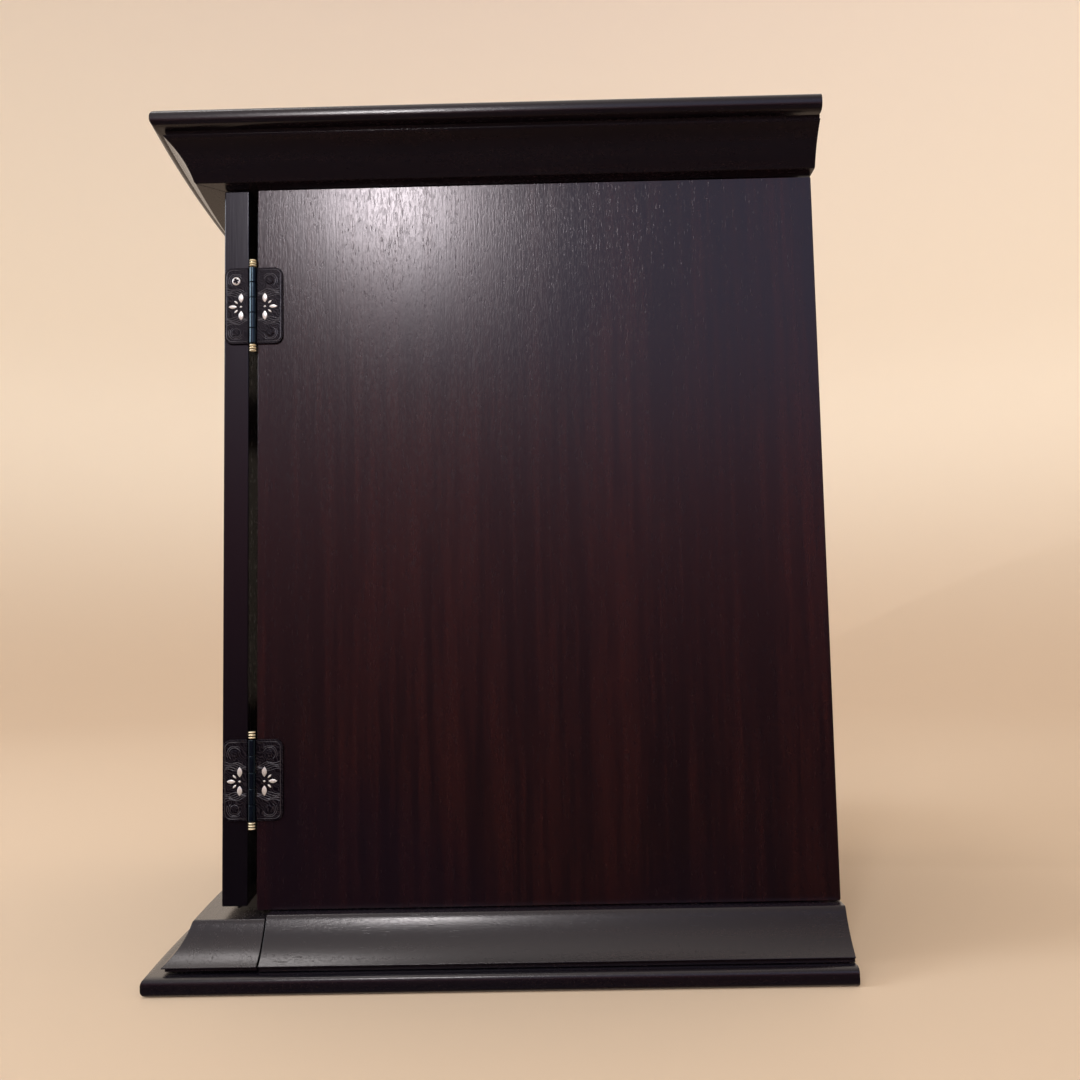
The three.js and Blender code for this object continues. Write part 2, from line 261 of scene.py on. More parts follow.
def platedBlack(name, look):
    # black plating on metal; the leaves have fine wavy lines in it, the barrels are smooth
    material, wire, place, shader = shaderOf(name, {
        "IOR": 1.45, "Specular IOR Level": look["level"], "Specular Tint": rgba(look["tint"])})
    mottle = noise(wire, place, plateScales["mottle"], 3.0)
    worn = noise(wire, place, plateScales["wear"], 2.0).step(0.5, 0.7) * 0.5
    height = mottle * 0.003 * mm
    if look["lines"]:
        wander = noise(wire, place, plateScales["wear"], 1.0)
        warped = wire.vector("MULTIPLY_ADD", wander.other("Color"), (0.005, 0.005, 0.005), place)
        lines = wire.node("ShaderNodeTexWave", {"bands_direction": "DIAGONAL"},
                          {"Vector": warped, "Scale": plateScales["lines"], "Distortion": 1.0}, output="Fac")
        height = height + lines * look["lines"]
        worn = lines.step(0.55, 0.95) * 0.5
    colour = wire.mixed(worn, rgba(look["colour"]), rgba(look["worn"]))
    bump = wire.node("ShaderNodeBump", None, {"Distance": 1.0, "Height": height})
    feed(shader, Base_Color=colour, Roughness=look["roughness"] + mottle * 0.08, Normal=bump)
    return material


metals = {                      # colour, blotches, metallic, roughness
    "brass": ((1.0, 0.92, 0.70), (0.80, 0.62, 0.34), 0.45, 0.16),
    "bright": ((0.82, 0.82, 0.83), (0.64, 0.63, 0.64), 0.5, 0.32),
    "worn": ((0.125, 0.122, 0.135), (0.045, 0.042, 0.050), 0.8, 0.32),
}


def wornMetal(name, colour, dark, metallic, roughness):
    # a metal with faint darker blotches and fine scratches
    material, wire, place, shader = shaderOf(name, {"Metallic": metallic})
    blotch = noise(wire, place, 420.0, 3.0).step(0.45, 0.75)
    scratch = noise(wire, place.vector("MULTIPLY", place, (1.0, 0.15, 1.0)), 3000.0, 1.0)
    bump = wire.node("ShaderNodeBump", None, {"Distance": 0.004 * mm, "Height": scratch})
    feed(shader, Base_Color=wire.mixed(blotch, rgba(colour), rgba(dark)), Normal=bump,
         Roughness=roughness + blotch * 0.12)
    return material


def makeFinishes():
    made = {f"dark_{grain}": lacqueredWood(f"darkLacquer{grain.title()}", panelLacquer, grain)
            for grain in ("upright", "along")}
    for grain in ("along", "deep"):
        made[f"black_{grain}"] = lacqueredWood(f"blackLacquer{grain.title()}", mouldingLacquer, grain)
        made[f"inner_{grain}"] = lacqueredWood(f"innerLacquer{grain.title()}", insideLacquer, grain)
    made["door"] = lacqueredWood("doorLacquer", doorLacquer, "upright")
    made["plate"] = platedBlack("blackPlate", blackPlating)
    made["barrel"] = platedBlack("blueBlackBarrel", blueBlack)
    for name, look in metals.items():
        made[name] = wornMetal(f"{name}Metal", *look)
    return made


# mesh helpers

def meshObject(name, points, faces, bows=None):
    # bows: for each point the half width of the bowed line it lies on, 0 where nothing bows
    mesh = bpy.data.meshes.new(name)
    mesh.from_pydata(points, [], faces)
    shape = bmesh.new()
    shape.from_mesh(mesh)
    bmesh.ops.recalc_face_normals(shape, faces=shape.faces)
    shape.to_mesh(mesh)
    shape.free()
    if bows:
        mesh.attributes.new("bow", "FLOAT", "POINT").data.foreach_set("value", bows)
    made = bpy.data.objects.new(name, mesh)
    bpy.context.scene.collection.objects.link(made)
    return made


def solidFromLoops(name, loops):
    # closed loops of equal length, each point ((x, y, z), bow), joined in order and capped
    size = len(loops[0])
    points = [point for loop in loops for point, _ in loop]
    bows = [bow for loop in loops for _, bow in loop]
    faces = [list(range(size))[::-1], [len(points) - size + i for i in range(size)]]
    for start in range(0, len(points) - size, size):
        for i in range(size):
            j = (i + 1) % size
            faces.append([start + i, start + j, start + size + j, start + size + i])
    return meshObject(name, points, faces, bows)


def turned(name, profile, centre, axis, steps):
    # a lathe shape: profile of (radius, along) from tip to tip, turned about the axis
    points, faces = [], []
    turn = Vector((0, 0, 1)).rotation_difference(Vector(axis)).to_matrix()
    for radius, along in profile:
        for i in range(steps if radius else 1):
            angle = 2 * math.pi * i / steps
            local = Vector((radius * math.cos(angle), radius * math.sin(angle), along))
            points.append(tuple(Vector(centre) + turn @ local))
    start = 0
    for (near, _), (far, _) in zip(profile, profile[1:]):
        step = steps if near else 1
        for i in range(steps):
            j = (i + 1) % steps
            lower = [start + i, start + j] if near else [start]
            upper = [start + step + j, start + step + i] if far else [start + step]
            faces.append(lower + upper)
        start += step
    return meshObject(name, points, faces)


def mix(first, second, share):
    return first + (second - first) * share


def quarter(steps, start=0.0, turn=math.pi / 2):
    return [start + turn * i / steps for i in range(steps + 1)]


# modifiers and the way a piece is finished

def setInputs(modifier, values):
    # a modifier's inputs go by their sockets' identifiers
    for socket in modifier.node_group.interface.items_tree:
        if socket.item_type == "SOCKET" and socket.in_out == "INPUT" and socket.name in values:
            modifier[socket.identifier] = values[socket.name]


def geometryTree(name, sizes, build):
    # sizes: named inputs with their first values; build gets the wires and gives the geometry
    tree = bpy.data.node_groups.new(name, "GeometryNodeTree")
    tree.interface.new_socket("Geometry", in_out="INPUT", socket_type="NodeSocketGeometry")
    for key, value in sizes.items():
        kind = "NodeSocketInt" if isinstance(value, int) else "NodeSocketFloat"
        tree.interface.new_socket(key, in_out="INPUT", socket_type=kind).default_value = value
    tree.interface.new_socket("Finish", in_out="INPUT", socket_type="NodeSocketMaterial")
    tree.interface.new_socket("Geometry", in_out="OUTPUT", socket_type="NodeSocketGeometry")
    start = Wire(tree).node("NodeGroupInput")
    named = {key: start.other(key) for key in ("Geometry", *sizes)}
    made = build(start, named)
    real = made.node("GeometryNodeRealizeInstances", None, {"Geometry": made})
    done = real.node("GeometryNodeSetMaterial", None, {"Geometry": real, "Material": start.other("Finish")})
    done.node("NodeGroupOutput", None, {"Geometry": done})
    return tree


def addTree(piece, tree, finish, **values):
    modifier = piece.modifiers.new(tree.name, "NODES")
    modifier.node_group = tree
    setInputs(modifier, {**values, "Finish": finish})


def addBevel(piece, width, segments=3, angle=32):
    bevel = piece.modifiers.new("edges", "BEVEL")
    bevel.width, bevel.segments = width, segments
    bevel.limit_method, bevel.angle_limit = "ANGLE", math.radians(angle)
    bevel.harden_normals = True


def settle(piece, body, slot, nodes=(), finish=None, sharp=40):
    # modifiers made real, so that the piece is one plain mesh with its place in it
    piece.data.polygons.foreach_set("use_smooth", [True] * len(piece.data.polygons))
    graph = bpy.context.evaluated_depsgraph_get()
    hardened = any(modifier.type == "BEVEL" for modifier in piece.modifiers)
    mesh = bpy.data.meshes.new_from_object(piece.evaluated_get(graph), depsgraph=graph)
    piece.modifiers.clear()
    piece.data = mesh
    mesh.name = piece.name
    if not hardened:
        mesh.polygons.foreach_set("use_smooth", [True] * len(mesh.polygons))
        mesh.set_sharp_from_angle(angle=math.radians(sharp))
    if finish:
        mesh.materials.clear()
        mesh.materials.append(finish)
    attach(piece, body)
    if nodes:
        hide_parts(*nodes)
    return piece


# the bowed front

bow = {"radius": 1700 * mm, "steps": 40}


def sagitta(half):
    return bow["radius"] - math.sqrt(bow["radius"] ** 2 - half ** 2)


def bowFrontTree():
    # pushes every point that has a bow ahead, by how far its line stands out from its own corners
    def build(wire, named):
        half = wire.attribute("bow")
        place = wire.node("GeometryNodeInputPosition")
        x = place.separated()
        square = named["Radius"] ** 2
        ahead = (square - x ** 2).root() - (square - half ** 2).root()
        ahead = ahead * half.maths("GREATER_THAN", half, 1e-6)
        shift = wire.combined(Y=0.0 - ahead)
        return wire.node("GeometryNodeSetPosition", None,
                         {"Geometry": named["Geometry"], "Offset": shift})
    return geometryTree("bowFront", {"Radius": 1.0}, build)


def bowPiece(piece, finish):
    addTree(piece, trees["bowFront"], finish, Radius=bow["radius"])


def frontLine(first, last):
    # stations along the front, from share first of the half width to share last
    steps = bow["steps"]
    return [("front", mix(first, last, i / steps)) for i in range(steps + 1)]


def stationPoint(level, station):
    # level: (half width, y of its front corners, z); a side station keeps its own y
    half, cornerY, z = level
    place, value = station
    if place == "front":
        return (value * half, cornerY, z), half
    return (sides[place] * half, value, z), 0.0


def slabSolid(name, levels, backY):
    # a board whose plan changes with height: bowed front, straight sides, square back
    around = [*frontLine(-1, 1), ("right", backY), ("left", backY)]
    return solidFromLoops(name, [[stationPoint(level, at) for at in around] for level in levels])


def runSolid(name, section, stations):
    # a bar whose closed section follows the stations
    return solidFromLoops(name, [[stationPoint(level, at) for level in section] for at in stations])


# boards and mouldings

edges = {"moulding": 0.2 * mm, "panel": 0.5 * mm, "door": 0.7 * mm, "hidden": 0.6 * mm}
nose = {"steps": 24, "top_board": 2.5, "base_board": 3.0}     # 2 is a half circle, higher is fuller
cove = {                        # quirk: the shadow step beside each board
    "sag": 1.6 * mm, "steps": 14, "lip": 0.8 * mm, "undercut": 0.25 * mm,
    "quirkDepth": 1.5 * mm, "quirkHead": 0.6 * mm, "quirkHeight": 2.0 * mm, "quirkEdge": 0.3 * mm,
    "ledge": 8.8 * mm, "ledgeAhead": 29.7 * mm, "cornice": 9.4 * mm, "corniceAhead": 30.2 * mm,
}
joint = 0.12 * mm               # half of a glued mitre's hairline
trayGap = 0.55 * mm             # air behind the tray's ends
trayRebate = 1 * mm             # from the tray's board to the inside of its front's ends
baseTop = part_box("base_board")[1].z + airGap


def nosedBoard(node, finish):
    low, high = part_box(node)
    radius = (high.z - low.z) / 2
    cornerY = low.y + sagitta(high.x)
    levels = []
    for turn in quarter(nose["steps"], -math.pi / 2, math.pi):
        power = 2 / nose[node]
        inward = radius * (1 - abs(math.cos(turn)) ** power)
        rise = math.copysign(abs(math.sin(turn)) ** power, turn)
        levels.append((high.x - inward, cornerY + inward, low.z + radius * (1 + rise)))
    board = slabSolid(node + "_nosed", levels, high.y)
    bowPiece(board, finish)
    settle(board, "case", "black_lacquer", [node])


def coveLine(start, end):
    # levels of a shallow hollow between two levels, sagging towards the body
    rise, run = end[2] - start[2], end[0] - start[0]
    chord = math.hypot(rise, run)
    levels = []
    for i in range(cove["steps"] + 1):
        along = i / cove["steps"]
        sag = 4 * cove["sag"] * along * (1 - along) / chord
        levels.append((mix(start[0], end[0], along) - sag * rise,
                       mix(start[1], end[1], along) + sag * rise,
                       mix(start[2], end[2], along) + sag * run))
    return levels


def shifted(level, outward, z):
    # a level moved out to the side and to the front alike, at another height
    return (level[0] + outward, level[1] - outward, z)


def baseSection(low, high, foot, innerHalf, innerY):
    # foot: (half width, corner y) of the cove's lower edge; the inner points close the section
    ledge = (halfBody + cove["ledge"], panelFront - cove["ledgeAhead"], high)
    foot = (*foot, low)
    lip = cove["lip"]
    quirkTop = baseTop + cove["quirkHeight"]
    return [(innerHalf, innerY, low), shifted(foot, -cove["quirkDepth"], low),
            shifted(foot, -cove["quirkDepth"], quirkTop), shifted(foot, 0, quirkTop + cove["quirkEdge"]),
            *coveLine(shifted(foot, 0, quirkTop + lip), shifted(ledge, 0, high - lip)),
            shifted(ledge, -lip, high), (innerHalf, innerY, high)]


def corniceSection(low, high, top, innerHalf, innerY):
    # top: (half width, corner y) of the outer edge under the top board
    edge = (halfBody + cove["cornice"], panelFront - cove["corniceAhead"], low)
    top = (*top, high)
    lip = cove["lip"]
    quirk = high - cove["quirkHeight"]
    return [(innerHalf, innerY, low), edge,
            *coveLine(shifted(edge, lip, low + lip), shifted(top, -cove["undercut"], quirk - lip)),
            shifted(top, 0, quirk - cove["quirkEdge"]), shifted(top, -cove["quirkDepth"], quirk),
            shifted(top, -cove["quirkHead"], high), (innerHalf, innerY, high)]


def moulding(name, node, section, stations, body, finish):
    bar = runSolid(name, section, stations)
    bowPiece(bar, finish)
    addBevel(bar, edges["moulding"])
    settle(bar, body, "black_lacquer", [node])


def baseMouldings():
    low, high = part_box("tray_front")
    foot = (high.x, low.y + sagitta(high.x))
    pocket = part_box("tray_board")
    section = baseSection(low.z, high.z, foot, pocket[1].x + trayRebate, pocket[0].y - airGap)
    backY = high.y - trayGap
    path = [("right", backY), *frontLine(1, -1), ("left", backY)]
    moulding("tray_front_moulding", "tray_front", section, path, "tray", finishes["black_along"])
    for name in sides:
        node = f"base_moulding_{name}"
        low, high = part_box(node)
        innerHalf = min(abs(low.x), abs(high.x))
        section = baseSection(low.z, high.z, foot, innerHalf, low.y)
        path = [(name, low.y), (name, high.y)]
        moulding(node + "_run", node, section, path, "case", finishes["black_deep"])


def corniceMouldings():
    low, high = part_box("cornice_front")
    top = (high.x, low.y + sagitta(high.x))
    innerHalf = min(abs(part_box("cornice_right")[0].x), abs(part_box("cornice_right")[1].x))
    section = corniceSection(low.z, high.z, top, innerHalf, high.y)
    trim = joint / halfBody
    moulding("cornice_front_run", "cornice_front", section, frontLine(1 - trim, trim - 1), "case",
             finishes["black_along"])
    for name in sides:
        node = f"cornice_{name}"
        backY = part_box(node)[1].y
        # each point starts where its own level meets the mitre
        loops = [[((sides[name] * half, y, z), 0.0) for half, y, z in section]]
        loops[0] = [((x, y + joint, z), bowed) for (x, y, z), bowed in loops[0]]
        loops.append([((sides[name] * half, backY, z), 0.0) for half, _, z in section])
        bar = solidFromLoops(node + "_run", loops)
        addBevel(bar, edges["moulding"])
        settle(bar, "case", "black_lacquer", [node], finishes["black_deep"])


def plainBoard(node, body, slot, finish, bowed=False):
    # a flat board with softened edges, its front bowed where the case follows the doors
    low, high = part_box(node)
    if bowed:
        cornerY = low.y + sagitta(high.x)
        board = slabSolid(node + "_board", [(high.x, cornerY, z) for z in (low.z, high.z)], high.y)
        bowPiece(board, finish)
    else:
        corners = ((low.x, low.y), (high.x, low.y), (high.x, high.y), (low.x, high.y))
        board = solidFromLoops(node + "_board", [[((x, y, z), 0.0) for x, y in corners]
                                                 for z in (low.z, high.z)])
    addBevel(board, edges["hidden"])
    settle(board, body, slot, [node], finish)


sidePanel = {"corner": 1 * mm, "steps": 6}


def sidePanels():
    # flat boards, their four corners a little rounded as seen from the side
    corner = sidePanel["corner"]
    for name in sides:
        node = f"side_panel_{name}"
        low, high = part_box(node)
        outline = []
        for start, y, z in ((0, high.y, high.z), (1, low.y, high.z), (2, low.y, low.z), (3, high.y, low.z)):
            centreY = y - corner if y == high.y else y + corner
            centreZ = z - corner if z == high.z else z + corner
            for turn in quarter(sidePanel["steps"], start * math.pi / 2):
                outline.append((centreY + corner * math.cos(turn), centreZ + corner * math.sin(turn)))
        panel = solidFromLoops(node + "_board", [[((x, y, z), 0.0) for y, z in outline]
                                                 for x in (low.x, high.x)])
        addBevel(panel, edges["panel"])
        settle(panel, "case", "dark_lacquer", [node], finishes["dark_upright"])


door = {"thickness": 13.1 * mm}


def doors():
    for name, side in sides.items():
        node = f"door_{name}"
        low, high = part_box(node)
        inner = min(abs(low.x), abs(high.x))
        frontY = low.y + sagitta(halfBody) - sagitta(inner)
        first, last = (inner, halfBody) if side > 0 else (-halfBody, -inner)
        line = [mix(first, last, i / bow["steps"]) for i in range(bow["steps"] + 1)]
        loops = []
        for z in (low.z, high.z):
            loop = [((x, frontY, z), halfBody) for x in line]
            loops.append(loop + [((x, frontY + door["thickness"], z), halfBody) for x in line[::-1]])
        leaf = solidFromLoops(node + "_board", loops)
        bowPiece(leaf, finishes["door"])
        addBevel(leaf, edges["door"], segments=4)
        settle(leaf, f"{name}_door", "dark_lacquer", [node])


knob = {                        # foot and neck as shares of the radius, the head as shares of the length
    "foot": 0.8, "footHeight": 1.25 * mm, "footBase": 0.3 * mm, "footTop": 0.25 * mm,
    "neck": 0.42, "neckFoot": (0.5 * mm, 1.6 * mm), "neckStart": 2.4 * mm, "neckEnd": 0.40,
    "headFoot": (0.2 * mm, 0.46), "headRise": 0.28, "headSteps": 14, "steps": 40,
}


def knobs():
    for name in sides:
        node = f"door_knob_{name}"
        low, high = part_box(node)
        radius, length = (high.x - low.x) / 2, high.y - low.y
        neck, foot = radius * knob["neck"], radius * knob["foot"]
        footTop, (neckFlare, neckRise) = knob["footHeight"], knob["neckFoot"]
        headFlare, headStart = knob["headFoot"]
        profile = [(0, 0), (foot - knob["footBase"], 0), (foot, knob["footBase"]),
                   (foot, footTop - knob["footTop"]), (foot - knob["footTop"], footTop),
                   (neck + neckFlare, neckRise), (neck, knob["neckStart"]),
                   (neck, length * knob["neckEnd"]), (neck + headFlare, length * headStart)]
        for turn in quarter(knob["headSteps"], -0.375 * math.pi, 0.875 * math.pi)[:-1]:
            rise = 1 - knob["headRise"] * (1 - math.sin(turn))
            profile.append((radius * math.cos(turn), length * rise))
        profile.append((0, length))
        centre = ((low.x + high.x) / 2, high.y, (low.z + high.z) / 2)
        made = turned(node + "_turned", profile, centre, (0, -1, 0), knob["steps"])
        settle(made, f"{name}_door", "brass", [node], finishes["brass"], sharp=50)


# hinges

hinge = {
    "thickness": 1.1 * mm, "corner": 4.3 * mm, "edge": 0.3 * mm, "leastRoot": 2.1 * mm,
    "rimInset": 1.25 * mm, "rimRoot": 0.4 * mm, "rimSunk": 0.03 * mm, "vineSunk": 0.05 * mm,
    "knuckleRadius": 1.9 * mm, "bore": 1.05 * mm, "knuckles": 5, "knuckleGap": 0.3 * mm,
    "knuckleEdge": 0.2 * mm,
    "tongue": 0.5 * mm, "tongueStart": 0.55, "tongueLap": 0.3 * mm, "tongueEdge": 0.15 * mm,
    "screwFromAxis": 8.9 * mm, "screwFromMiddle": 13.9 * mm, "screwRadius": 2.2 * mm,
    "flowerFromAxis": 6.3 * mm, "ornamentDrop": 0.55 * mm,
    "pinRadius": 0.7 * mm, "beads": 3, "beadRadius": 1.8 * mm,
}
leafUnder = halfBody + airGap
leafFace = leafUnder + hinge["thickness"]
screwHead = {"height": 0.22, "crossLong": 1.35, "crossWide": 0.6, "spin": 0.35}     # sizes by the radius
crossDepths = {"screwHeads": (0.5, 0.3), "screwCrosses": (0.14, 0.08)}      # depth and middle, likewise
pinBead = {"height": 0.36, "squareness": 0.6}           # half height by the bead's pitch
flower = {
    "petals": [                 # turn from straight outward, centre distance, length, width
        (-90, 4.75, 5.2, 2.6), (90, 4.75, 5.2, 2.6), (0, 4.4, 4.4, 2.0),
        (-43, 3.6, 2.5, 1.0), (43, 3.6, 2.5, 1.0), (0, 0.0, 1.4, 1.1)],
    "height": 0.3,
}
vine = {                        # arcs: radius, and how many half turns they span
    "waves": 5, "first": 5.9 * mm, "pitch": 0.95 * mm, "swing": 0.5 * mm, "turns": 1.4, "lag": 0.17,
    "gather": 2.4 * mm, "arcs": ((3.1 * mm, 1.2), (4.0 * mm, 0.9)), "arcTilt": 0.3, "steps": 28,
    "fromRoot": 0.3 * mm, "fromEnd": 1.5 * mm, "reach": 17.6 * mm, "radius": 0.17 * mm,
}


def knuckleTree():
    # a stack of tubes along Z, every other one present
    def build(wire, named):
        length = named["Pitch"] - named["Gap"]
        offset, first = wire.combined(Z=named["Pitch"] * 2.0), wire.combined(Z=named["First"])
        row = wire.node("GeometryNodeMeshLine", {"mode": "OFFSET"},
                        {"Count": named["Count"], "Offset": offset, "Start Location": first})
        barrel = wire.node("GeometryNodeMeshCylinder", None,
                           {"Vertices": 32, "Radius": named["Radius"], "Depth": length})
        bore = wire.node("GeometryNodeMeshCylinder", None,
                         {"Vertices": 20, "Radius": named["Bore"], "Depth": length * 1.5})
        tube = wire.boolean("DIFFERENCE", {"Mesh 1": barrel, "Mesh 2": bore})
        stack = wire.node("GeometryNodeInstanceOnPoints", None, {"Points": row, "Instance": tube})
        place = wire.combined(X=named["Place X"], Y=named["Place Y"], Z=named["Place Z"])
        return wire.node("GeometryNodeTransform", None, {"Geometry": stack, "Translation": place})
    sizes = {"Count": 3, "Pitch": 1.0, "Gap": 0.1, "First": 0.0, "Radius": 1.0, "Bore": 0.5,
             "Place X": 0.0, "Place Y": 0.0, "Place Z": 0.0}
    return geometryTree("knuckles", sizes, build)


def reliefTree():
    # a round bead along every edge line of the mesh it is given
    def build(wire, named):
        lines = wire.node("GeometryNodeMeshToCurve", None, {"Mesh": named["Geometry"]})
        circle = wire.node("GeometryNodeCurvePrimitiveCircle", None,
                           {"Resolution": 8, "Radius": named["Radius"]})
        return wire.node("GeometryNodeCurveToMesh", None,
                         {"Curve": lines, "Profile Curve": circle, "Fill Caps": True})
    return geometryTree("reliefLines", {"Radius": 1.0}, build)


def screwTree(name, recess):
    # on each point a low domed head with a cross recess, or the dark cross at the recess's bottom
    def build(wire, named):
        radius = named["Radius"]
        depth, middle = crossDepths[name]
        lift = wire.combined(Z=radius * middle)
        bars = []
        cross = (screwHead["crossLong"], screwHead["crossWide"])
        for along, across in (cross, cross[::-1]):
            size = wire.combined(X=radius * along, Y=radius * across, Z=radius * depth)
            bar = wire.node("GeometryNodeMeshCube", None, {"Size": size})
            bars.append(wire.node("GeometryNodeTransform", None, {"Geometry": bar, "Translation": lift}))
        shape = wire.boolean("UNION", {"Mesh 2": bars})
        if recess:
            head = wire.node("GeometryNodeMeshUVSphere", None,
                             {"Segments": 32, "Rings": 16, "Radius": radius})
            head = wire.node("GeometryNodeTransform", None,
                             {"Geometry": head, "Scale": (1.0, 1.0, screwHead["height"])})
            shape = wire.boolean("DIFFERENCE", {"Mesh 1": head, "Mesh 2": shape})
        turn = wire.combined(Y=named["Side"] * (math.pi / 2))
        spin = wire.node("FunctionNodeRotateEuler", {"space": "LOCAL"},
                         {"Rotation": turn, "Rotate By": (0.0, 0.0, screwHead["spin"])})
        return wire.node("GeometryNodeInstanceOnPoints", None,
                         {"Points": named["Geometry"], "Instance": shape, "Rotation": spin})
    return geometryTree(name, {"Radius": 1.0, "Side": 1.0}, build)


def petalTree():
    # a pointed low dome on each point, laid in the YZ plane; its sizes and turn come with the point
    def build(wire, named):
        ball = wire.node("GeometryNodeMeshUVSphere", None, {"Segments": 24, "Rings": 13, "Radius": 1.0})
        ball = wire.node("GeometryNodeTransform", None,
                         {"Geometry": ball, "Rotation": (0.0, math.pi / 2, 0.0)})
        place = wire.node("GeometryNodeInputPosition").separated()
        pinch = (1.0 - place ** 2).root()
        shaped = wire.combined(X=place, Y=place.other("Y") * pinch, Z=place.other("Z") * pinch)
        ball = wire.node("GeometryNodeSetPosition", None, {"Geometry": ball, "Position": shaped})
        long, wide = wire.attribute("long"), wire.attribute("wide")
        size = wire.combined(X=long / 2.0, Y=wide / 2.0, Z=named["Height"])
        upright, turn = wire.combined(X=math.pi / 2, Z=math.pi / 2), wire.combined(X=wire.attribute("turn"))
        turn = wire.node("FunctionNodeRotateEuler", {"space": "OBJECT"},
                         {"Rotation": upright, "Rotate By": turn})
        return wire.node("GeometryNodeInstanceOnPoints", None, {
            "Points": named["Geometry"], "Instance": ball, "Scale": size, "Rotation": turn})
    return geometryTree("petals", {"Height": 1.0}, build)


def beadTree():
    # a flattened bead on each point
    def build(wire, named):
        bead = wire.node("GeometryNodeMeshUVSphere", None, {"Segments": 28, "Rings": 16, "Radius": 1.0})
        place = wire.node("GeometryNodeInputPosition").separated()
        z = place.other("Z")
        square = z.maths("SIGN", z) * z.maths("ABSOLUTE", z) ** pinBead["squareness"]
        shaped = wire.combined(X=place, Y=place.other("Y"), Z=square)
        bead = wire.node("GeometryNodeSetPosition", None, {"Geometry": bead, "Position": shaped})
        radius = named["Radius"]
        tall = wire.combined(X=radius, Y=radius, Z=named["Pitch"] * pinBead["height"])
        return wire.node("GeometryNodeInstanceOnPoints", None,
                         {"Points": named["Geometry"], "Instance": bead, "Scale": tall})
    return geometryTree("pinBeads", {"Radius": 1.0, "Pitch": 1.0}, build)


def hingePlace(name, level):
    # the joint's axis, and the middle of the leaf's height
    joints = {row["name"]: row for row in frame["record"]["behaviour"]["joints"]}
    axis = joints[f"{name}_door_hinge"]["pos_m"]
    low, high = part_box(f"hinge_{level}_{name}_case_leaf")
    return Vector((axis[0], axis[1], (low.z + high.z) / 2)), high.z - low.z


def leafOutline(root, far, half, inset):
    # (away, z) around a leaf whose two free corners are rounded
    corner = hinge["corner"] - inset
    points = [(root, inset - half)]
    for z, start in ((inset - half + corner, -math.pi / 2), (half - inset - corner, 0.0)):
        for turn in quarter(10, start):
            points.append((far - inset - corner + corner * math.cos(turn), z + corner * math.sin(turn)))
    points.append((root, half - inset))
    return points


def hingeLeaf(name, level, part):
    node = f"hinge_{level}_{name}_{part}"
    side, away = sides[name], (1 if part == "case_leaf" else -1)
    body = "case" if part == "case_leaf" else f"{name}_door"
    centre, height = hingePlace(name, level)
    low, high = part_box(node)
    far = high.y - centre.y if away > 0 else centre.y - low.y
    root = panelFront - centre.y if away > 0 else centre.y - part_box(f"door_{name}")[1].y
    root = max(root, hinge["leastRoot"])

    def onFace(u, v, x=leafFace):
        # u away from the hinge's axis, v up from the leaf's middle, x out from the cabinet's middle
        return (side * x, centre.y + away * u, centre.z + v)

    outline = leafOutline(root, far, height / 2, 0.0)
    plate = solidFromLoops(node + "_plate", [[(onFace(u, v, x), 0.0) for u, v in outline]
                                            for x in (leafUnder, leafFace)])
    addBevel(plate, hinge["edge"])
    settle(plate, body, "black_plate", [node], finishes["plate"])

    pitch = height / hinge["knuckles"]
    first = 0 if away > 0 else 1
    count = (hinge["knuckles"] - first + 1) // 2
    barrel = meshObject(node + "_knuckles", [tuple(centre)], [])
    addTree(barrel, trees["knuckles"], finishes["barrel"], **{
        "Count": count, "Pitch": pitch, "Gap": hinge["knuckleGap"], "Radius": hinge["knuckleRadius"],
        "Bore": hinge["bore"], "First": pitch * (first + 0.5) - height / 2,
        "Place X": centre.x, "Place Y": centre.y, "Place Z": centre.z})
    addBevel(barrel, hinge["knuckleEdge"], segments=2, angle=40)
    settle(barrel, body, "black_plate")
    for i in range(count):
        middle = pitch * (first + 2 * i + 0.5) - height / 2
        wrapTongue(f"{node}_tongue_{i + 1}", body, onFace, root, middle, (pitch - hinge["knuckleGap"]) / 2)
    leafOrnament(node, body, side, away, onFace, root, far, height)


def wrapTongue(name, body, onFace, root, middle, half):
    # the plate runs on from the leaf into its knuckle
    inner, outer = hinge["knuckleRadius"] * hinge["tongueStart"], root + hinge["tongueLap"]
    outline = [(inner, middle - half), (outer, middle - half), (outer, middle + half), (inner, middle + half)]
    tongue = solidFromLoops(name, [[(onFace(u, v, x), 0.0) for u, v in outline]
                                   for x in (leafUnder, leafUnder + hinge["tongue"])])
    addBevel(tongue, hinge["tongueEdge"], segments=2)
    settle(tongue, body, "black_plate", finish=finishes["plate"])


